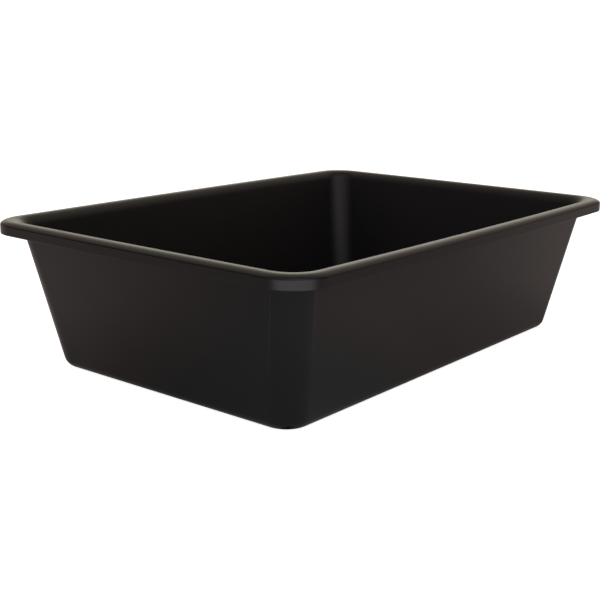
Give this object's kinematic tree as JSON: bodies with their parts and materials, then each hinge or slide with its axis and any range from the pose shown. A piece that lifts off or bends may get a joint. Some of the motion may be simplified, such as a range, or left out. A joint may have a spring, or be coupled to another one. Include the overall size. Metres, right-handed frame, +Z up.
{
  "type": "paint roller tray",
  "caption": "Deep rectangular open plastic tray with flared walls, rounded corners, a flat base and a rolled, turned-down rim all round, for holding paint or other loose or liquid contents.",
  "frame": {"origin": "middle of the footprint, on the plane the tray rests on", "axes": "+X along the length, +Y across the width, +Z up out of the open top"},
  "size_m": [0.416, 0.297, 0.11],
  "materials": {
    "black_polypropylene": "satin near-black moulded polypropylene with a fine, soft grain; slightly shinier on the roll of the rim"
  },
  "bodies": {
    "root": {"tray_body": "black_polypropylene"}
  },
  "joints": []
}
